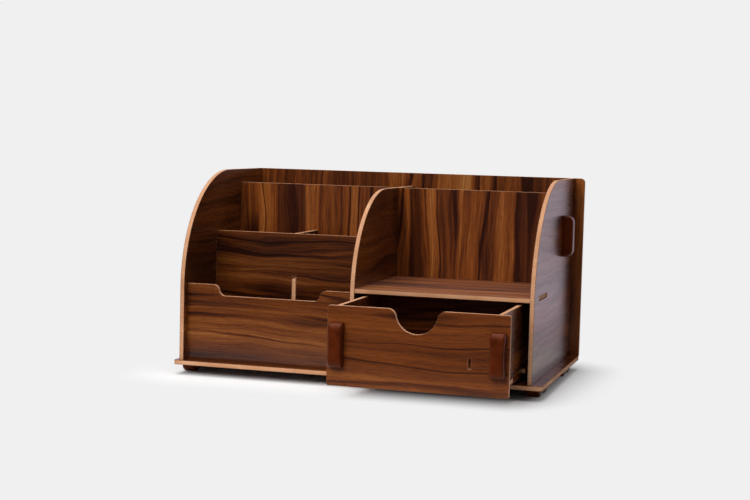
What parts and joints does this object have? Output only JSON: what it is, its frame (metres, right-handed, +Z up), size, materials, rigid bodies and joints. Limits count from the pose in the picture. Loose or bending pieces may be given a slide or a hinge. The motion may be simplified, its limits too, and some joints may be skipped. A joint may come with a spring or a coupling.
{
  "type": "desk organizer",
  "caption": "Knock-down desk organizer of thin walnut-look boards locked by brown plastic clips, with upright slots, open trays and a sliding drawer.",
  "frame": {"origin": "centre of the floor outline of the whole object at rest, with the drawer 75 mm out", "axes": "+X to the right, +Y to the back panel, +Z up; the drawer slides out along -Y"},
  "size_m": [0.349, 0.29, 0.1875],
  "materials": {
    "walnut_laminate": "walnut-print laminate faces with bare tan fibreboard edges, satin",
    "brown_plastic": "reddish-brown moulded plastic, semi-gloss"
  },
  "bodies": {
    "case": {"base_panel": "walnut_laminate", "back_panel": "walnut_laminate", "left_side_panel": "walnut_laminate", "right_side_panel": "walnut_laminate", "centre_partition": "walnut_laminate", "rear_divider": "walnut_laminate", "middle_divider": "walnut_laminate", "cross_partition": "walnut_laminate", "left_front_panel": "walnut_laminate", "drawer_shelf": "walnut_laminate", "front_left_foot": "brown_plastic", "front_right_foot": "brown_plastic", "rear_left_foot": "brown_plastic", "rear_right_foot": "brown_plastic", "left_side_clip": "brown_plastic", "right_side_clip": "brown_plastic", "left_back_clip": "brown_plastic", "right_back_clip": "brown_plastic"},
    "drawer": {"drawer_front": "walnut_laminate", "drawer_left_side": "walnut_laminate", "drawer_right_side": "walnut_laminate", "drawer_back": "walnut_laminate", "drawer_bottom": "walnut_laminate", "drawer_front_left_clip": "brown_plastic", "drawer_front_right_clip": "brown_plastic", "drawer_rear_left_clip": "brown_plastic", "drawer_rear_right_clip": "brown_plastic"}
  },
  "joints": [
    {"name": "drawer_slide", "type": "slide", "parent": "case", "child": "drawer", "axis": [0, -1, 0], "range_m": [-0.075, 0.015]}
  ]
}
